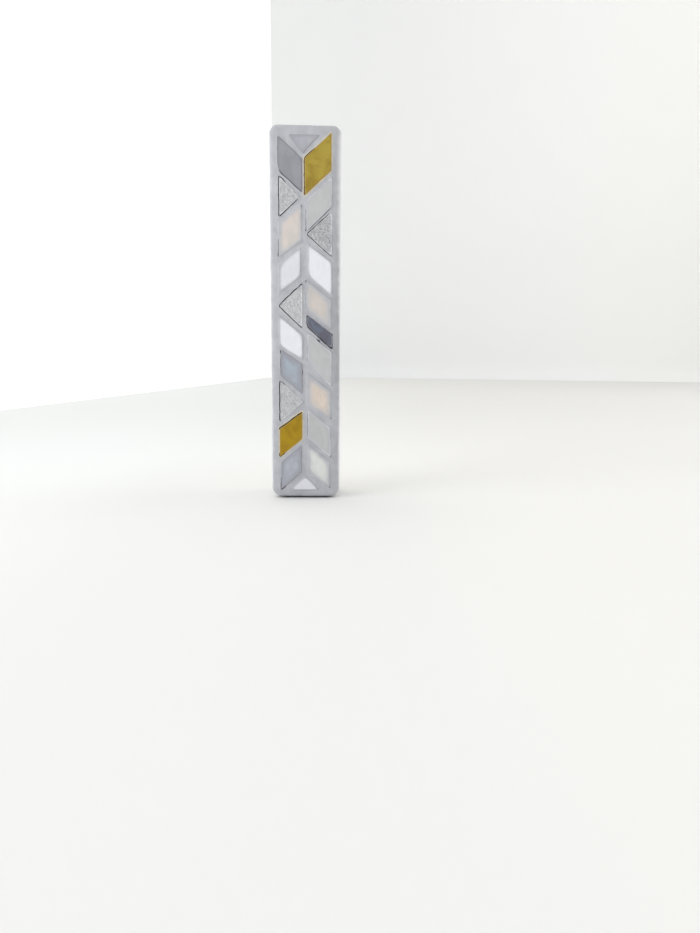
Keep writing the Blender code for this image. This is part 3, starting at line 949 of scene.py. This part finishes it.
def carve(target, cutters, finishes):
    """Cuts the cutters out of the target. The faces that a cutter leaves keep the cutter's own finish."""
    for solid in (target, *cutters):
        for finish in finishes:
            solid.data.materials.append(finish)
    for cutter in cutters:
        boolean = target.modifiers.new(cutter.name, "BOOLEAN")
        boolean.operation = "DIFFERENCE"
        boolean.object = cutter
    carved = bpy.data.meshes.new_from_object(target.evaluated_get(bpy.context.evaluated_depsgraph_get()))
    target.modifiers.clear()
    target.data = carved
    shade(carved, 32)
    for cutter in cutters:
        bpy.data.objects.remove(cutter)


def shrunk(outline, distance):
    """A convex outline with every side moved inwards."""
    outline = np.array(outline)
    into = outline - np.roll(outline, 1, axis=0)
    out_of = np.roll(outline, -1, axis=0) - outline
    sides = (v / np.linalg.norm(v, axis=1)[:, None] for v in (into, out_of))
    first, second = (np.stack([v[:, 1], -v[:, 0]], axis=1) for v in sides)
    mitre = first + second
    mitre /= np.linalg.norm(mitre, axis=1)[:, None]
    return outline - mitre * (distance / np.einsum("ij,ij->i", mitre, first))[:, None]


def eased(outline_at, start, end, ease):
    """Rings from a face at start, whose edge is rounded over, towards the end. outline_at gives the outline
    at a place along Y, moved in by a distance."""
    radius = math.copysign(ease, end - start)
    rings = [(start, outline_at(start, 2 * ease))]
    for step in (4, 3, 2, 1, 0):
        angle = math.pi / 2 * step / 4
        y = start + radius * (1 - math.sin(angle))
        rings.append((y, outline_at(y, ease * (1 - math.cos(angle)))))
    return rings


def plate_outline(y, margin=0.0, bottom=PLATE_LOW[2]):
    """The plate's dovetailed outline at a place along Y, square at the bottom and round at the top."""
    half = PLATE_HIGH[0] + margin - (y - PLATE_LOW[1]) * math.tan(DOVETAIL_ANGLE)
    centre = PLATE_HIGH[2] - PLATE_HIGH[0]
    turn = [math.pi * step / 40 for step in range(41)]
    arc = [(half * math.cos(a), centre + half * math.sin(a)) for a in turn]
    return [(-half, bottom), (half, bottom), *arc]


def make_body(paint, wood):
    """The painted body: a block with its back edges worn round, and the chamber and groove cut from it."""
    outline = case_outline(0.7 * MM, WOOD_HIGH[0] - 0.02 * MM, WOOD_LOW[2], WOOD_HIGH[2] - 0.05 * MM)
    x, z = outline.T
    outward = normals_of(outline)
    back = eased(lambda y, inwards: outline - outward * inwards, WOOD_HIGH[1], WOOD_LOW[1], BODY_EASE)
    rings = [(WOOD_LOW[1], outline)]
    for y in np.linspace(WOOD_LOW[1], WOOD_HIGH[1] - BODY_EASE, 15)[1:-1]:
        wave = 0.04 * MM * noise(x * 0.3 + y, z, 7 * MM, 201) + 0.015 * MM * noise(x + y, z, 1.5 * MM, 202)
        rings.append((y, outline + outward * (wave * (z > 1 * MM))[:, None]))
    body = plain_solid("case_body_painted", [*rings, *back[::-1]])
    chamber = rounded_box(CHAMBER_WIDTH / 2, CHAMBER_BOTTOM, CHAMBER_TOP, (CHAMBER_CORNER,) * 2, (12, 12))
    groove = [(y, plate_outline(y, SLIDE_GAP, -OVERRUN)) for y in (GROOVE_FLOOR, WOOD_HIGH[1] + OVERRUN)]
    cutters = [
        plain_solid("chamber", [(CHAMBER_FRONT, chamber), (GROOVE_FLOOR + OVERRUN, chamber)], finish=1),
        plain_solid("groove", groove, finish=1),
    ]
    carve(body, cutters, (paint, wood))
    declare(body, BODY, "case_body")


def make_plate(wood):
    """The wall plate: its edges sanded round, and two countersunk screw holes bored through it."""

    def sanded(y, inwards):
        return shrunk(plate_outline(y), inwards)

    front = eased(sanded, PLATE_LOW[1], PLATE_HIGH[1], PLATE_EASE)
    back = eased(sanded, PLATE_HIGH[1], PLATE_LOW[1], PLATE_EASE)
    plate = plain_solid("back_plate_sanded", [*front, *back[::-1]])
    profile = (
        (-OVERRUN, SCREW_HEAD),
        (0, SCREW_HEAD),
        (SCREW_HEAD - SCREW_HOLE, SCREW_HOLE),
        (PLATE_HIGH[1] - PLATE_LOW[1] + OVERRUN, SCREW_HOLE),
    )
    turn = [2 * math.pi * step / 48 for step in range(48)]
    cutters = []
    for height in SCREW_HEIGHTS:
        bore = []
        for along, radius in profile:
            ring = [(radius * math.cos(a), height + radius * math.sin(a)) for a in turn]
            bore.append((PLATE_LOW[1] + along, ring))
        cutters.append(plain_solid(f"screw_hole_{round(height / MM)}", bore))
    carve(plate, cutters, (wood,))
    declare(plate, PLATE_BODY, "back_plate")


def upright_ring(radius, angle, z):
    """Points round the scroll's axis."""
    centre = (SLEEVE_LOW[1] + SLEEVE_HIGH[1]) / 2
    return np.stack([radius * np.cos(angle), centre + radius * np.sin(angle), z], axis=1)


def make_parchment(material):
    """The rolled sheet, its ends slightly uneven."""
    per_turn = 64
    count = round(ROLL_TURNS * per_turn)
    turn = np.arange(count + 1) / per_turn
    angle = 2 * math.pi * turn + ROLL_START
    radius = ROLL_HIGH[0] - PARCHMENT / 2 - ROLL_PITCH * turn
    radius += 0.03 * MM * noise(3 * turn, 0 * turn, 1.0, 301) * smoothstep(0, 0.5, turn)
    slip = 0.25 * MM * noise(turn, 0 * turn, 1.3, 302) + 0.25 * MM
    rings = []
    for level in (0, 0.004, *np.linspace(0.05, 0.95, 10), 0.996, 1):
        z = (ROLL_LOW[2] + slip) * (1 - level) + (ROLL_HIGH[2] - slip) * level
        half = PARCHMENT / 2 * (0.5 if level in (0, 1) else 1.0)
        swell = 0.04 * MM * noise(angle, 0 * angle + level * 9, 2.2, 303)
        r = radius + np.minimum(swell, 0)
        rings += [upright_ring(r + half, angle, z), upright_ring(r - half, angle, z)[::-1]]
    around = 2 * (count + 1)
    levels = len(rings) // 2
    faces = loft_faces(levels, around, caps=False)
    for base in (0, (levels - 1) * around):
        for i in range(count):
            quad = (base + i, base + i + 1, base + around - 2 - i, base + around - 1 - i)
            faces.append(quad[::-1] if base == 0 else quad)
    points = np.concatenate(rings)
    add_piece("parchment_rolled", points, faces, material, "parchment_scroll", sharp=60)


def make_sleeve(material):
    """The clear sleeve round the parchment, softly dented."""
    radius = SLEEVE_HIGH[0] - 0.01 * MM
    angle = 2 * math.pi * np.arange(96) / 96
    middle = np.linspace(0.002, 0.998, 40)
    path = [(0, SLEEVE_WALL / 2), *((share, 0) for share in middle), (1, SLEEVE_WALL / 2)]
    path += [(share, SLEEVE_WALL) for share in middle[::-1]]
    rings = []
    for share, depth in path:
        z = SLEEVE_LOW[2] + (SLEEVE_HIGH[2] - SLEEVE_LOW[2]) * share
        dent = SLEEVE_DENT * np.clip(noise(angle * 1.3, 0 * angle + share * 14, 1.0, 304), 0, 1)
        dent *= smoothstep(0, 0.05, min(share, 1 - share))
        rings.append(upright_ring(radius - depth - dent, angle, np.full(len(angle), z)))
    faces = loft_faces(len(rings), len(angle), caps=False, joined=True)
    points = np.concatenate(rings)
    add_piece("sleeve_film", points, faces, material, "scroll_sleeve", sharp=60)


def make_adhesive(material):
    """The bed of glue, ridged in front and flat behind."""
    rows, columns = 160, 75
    across = np.linspace(BED_LOW[0], BED_HIGH[0], columns)
    x, z = np.meshgrid(across, np.linspace(BED_LOW[2], BED_HIGH[2], rows))
    sweep = x + 0.8 * MM * noise(x, z, 22 * MM, 401)
    y = BED_LOW[1] + RIDGE_HEIGHT * (1 + np.cos(2 * math.pi * sweep / RIDGE_PITCH)) / 2
    y += 0.04 * MM * (1 + noise(x, z, 1.1 * MM, 402)) / 2
    front = np.stack([x.ravel(), y.ravel(), z.ravel()], axis=1)
    back = front.copy()
    back[:, 1] = BED_HIGH[1]
    count = len(front)
    grid = np.arange(count).reshape(rows, columns)
    quads = np.stack([grid[:-1, :-1], grid[:-1, 1:], grid[1:, 1:], grid[1:, :-1]], axis=-1).reshape(-1, 4)
    rim = np.concatenate([grid[0, :-1], grid[:-1, -1], grid[-1, :0:-1], grid[:0:-1, 0]])
    after = np.roll(rim, -1)
    sides = np.stack([after, rim, rim + count, after + count], axis=1)
    faces = np.concatenate([quads, quads[:, ::-1] + count, sides]).tolist()
    add_piece("adhesive_bed", np.concatenate([front, back]), faces, material, "tile_adhesive")


def main():
    names = sorted(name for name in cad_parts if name.startswith("glass_"))
    glasses = [read_glass(name, seed) for seed, name in enumerate(names, start=1)]
    finishes = {kind: opal_glass(kind, look) for kind, look in LOOKS.items()}
    finishes["gold"] = gold_glass("glass_gold", (159, 124, 2), (179, 146, 8), (141, 108, 0))
    finishes["pale_gold"] = gold_glass("glass_pale_gold", (163, 136, 50), (190, 168, 72), (158, 126, 56))
    finishes["ripple"] = ripple_glass()
    for glass in glasses:
        make_glass(glass, finishes[OWN_LOOKS.get(glass.label, glass.kind)])
    make_grout(glasses, grout_material())
    make_adhesive(adhesive_material())
    cut_wood = bare_wood_material("bare_wood", linear(216, 194, 160), linear(198, 171, 133), 14)
    make_body(paint_material(), cut_wood)
    make_plate(bare_wood_material("maple", linear(218, 194, 157), linear(202, 172, 131), 18))
    make_parchment(parchment_material())
    make_sleeve(film_material())


# ---- floor, light and camera

STAGE_CORNER = (-0.086, 1.052)  # where the two backdrops meet, in metres
BACKDROP_LEFT = (-0.355, -0.08)
BACKDROP_RIGHT = (2.6, 0.66)
BACKDROP_HEIGHT = 1.6
FLOOR_REACH = 6
PAPER = {"Roughness": 0.9, "Specular IOR Level": 0.1}
WING_GLOW = 0.33
WORLD_FRONT = 0.58  # brightness of the surroundings behind the camera
WORLD_SIDES = 0.80
CAMERA_PLACE = (0.00627, -0.24536, 0.05098)
CAMERA_TURN = -2.14  # about Z, in degrees, as the next two
CAMERA_TIP = 90 - 9.535  # from looking straight down
CAMERA_ROLL = 0.49
LENS = 27.095  # in millimetres, on a sensor 36 mm long


def mottled(s, dark, light):
    return s.mix(s.noise(9, 3), dark, light)


def bright_paper():
    """Matt paper that glows a little, for the wing on the left."""
    s = Shader("bright_paper")
    dark, light = (tuple(c * share for c in linear(253, 254, 250)) for share in (0.99, 1.01))
    tone = mottled(s, dark, light)
    return s.finish({"Base Color": tone, "Emission Color": tone, "Emission Strength": WING_GLOW, **PAPER})


def floor_paper():
    """The floor's paper: a painted shadow round the case and towards the camera, painted light, brighter and
    cooler, far left.
    """
    s = Shader("floor_paper")
    across, along = s.place("X"), s.place("Y")
    tone = mottled(s, linear(244, 243, 241), linear(246, 245, 243))
    # painted light: brighter and cooler on the far left
    lit = s.times(s.ramp(across, -0.12, 0.10, 1, 0), s.ramp(along, -0.1, 0.1))
    tone = s.mix(lit, tone, linear(250, 252, 253))
    # painted shadow beside the case, towards the camera
    beside = s.times(s.ramp(across, -0.11, -0.04), s.ramp(across, 0.0, 0.07, 1, 0))
    dim = s.times(beside, s.ramp(along, -0.03, 0.10, 1, 0))
    tone = s.mix(dim, tone, linear(241, 241, 240))
    # painted shade: darker towards the back
    return s.finish({"Base Color": s.toned(tone, s.ramp(along, -0.05, 0.40, 1.0, 0.925)), **PAPER})


def backdrop_paper():
    """The far backdrop's paper, on which light falls from its upper right and fades towards the floor."""
    s = Shader("backdrop_paper")
    right, level = s.ramp(s.place("X"), 0.05, 0.60, smooth=False), s.place("Z")
    tone = mottled(s, linear(245, 246, 248), linear(247, 248, 250))
    tone = s.toned(s.mix(right, tone, (1, 1, 0.99)), s.ramp(level, 0.0, 0.12, 0.99, 1.0))
    lit = s.times(right, s.ramp(level, 0.20, 0.80, 0.0, 0.15, smooth=False))
    return s.finish({"Base Color": tone, "Emission Color": tone, "Emission Strength": lit, **PAPER})


def add_stage(name, points, faces, material):
    sheet = new_object(name, points, faces, material)
    sheet.data.shade_smooth()


def add_backdrop(name, start, end, sweep, material):
    """A tall sheet that stands on the floor between two places, with a curve of radius sweep at its foot."""
    start, end = np.array(start), np.array(end)
    along = (end - start) / math.dist(start, end)
    towards = np.array([along[1], -along[0]])
    steps = 8
    points = []
    for spot in (start, end):
        for step in range(steps + 1):
            angle = math.pi / 2 * step / steps
            across = spot + towards * sweep * (1 - math.sin(angle))
            points.append((*across, sweep * (1 - math.cos(angle))))
        points.append((*spot, BACKDROP_HEIGHT))
    faces = [(i, i + 1, i + steps + 3, i + steps + 2) for i in range(steps + 1)]
    add_stage(name, points, faces, material)


def make_stage():
    """A pale floor between a pale backdrop, far behind, and a bright one on the left."""
    floor = [(x * FLOOR_REACH, y * FLOOR_REACH, 0) for x, y in ((-1, -1), (1, -1), (1, 1), (-1, 1))]
    add_stage("floor", floor, [(0, 1, 2, 3)], floor_paper())
    add_backdrop("backdrop", STAGE_CORNER, BACKDROP_RIGHT, 0.03, backdrop_paper())
    add_backdrop("bright_backdrop", BACKDROP_LEFT, STAGE_CORNER, 0.006, bright_paper())


def add_softbox(name, place, size, power, colour=(1, 1, 1)):
    """An area light that faces the middle of the case."""
    lamp = bpy.data.lights.new(name, "AREA")
    lamp.shape = "RECTANGLE"
    lamp.size, lamp.size_y = size
    lamp.energy = power
    lamp.color = colour
    light = bpy.data.objects.new(name, lamp)
    light.location = place
    light.visible_camera = False
    light.rotation_euler = (Vector((0, 0, 0.06)) - Vector(place)).to_track_quat("-Z", "Y").to_euler()
    bpy.context.scene.collection.objects.link(light)


def light_scene():
    """Pale walls all round, dimmer on the camera's side, and a low softbox to the left and to the right."""
    scene = bpy.context.scene
    scene.view_settings.view_transform = "Standard"
    s = Shader("studio", "worlds")
    strength = s.ramp(s.place("Y", "Generated"), -0.95, -0.1, WORLD_FRONT, WORLD_SIDES)
    s.connect(s.tree.nodes["Background"], {"Color": (1.0, 0.998, 0.99, 1), "Strength": strength})
    scene.world = s.data
    add_softbox("left_softbox", (-0.80, -0.42, 0.32), (0.7, 0.5), 4.2, (0.97, 1.0, 1.03))
    add_softbox("right_softbox", (0.90, 0.16, 0.24), (0.6, 0.5), 2.3)


def place_camera():
    """A phone held a little below the height of the case's middle, a quarter of a metre away, tipped down."""
    data = bpy.data.cameras.new("camera")
    data.sensor_width = 36
    data.lens = LENS
    data.clip_start = 0.01
    camera = bpy.data.objects.new("camera", data)
    turns = ((CAMERA_TURN, "Z"), (CAMERA_TIP, "X"), (CAMERA_ROLL, "Z"))
    turn, tip, roll = (Matrix.Rotation(math.radians(angle), 4, axis) for angle, axis in turns)
    camera.matrix_world = Matrix.Translation(CAMERA_PLACE) @ turn @ tip @ roll
    bpy.context.scene.collection.objects.link(camera)
    bpy.context.scene.camera = camera


main()
make_stage()
light_scene()
place_camera()
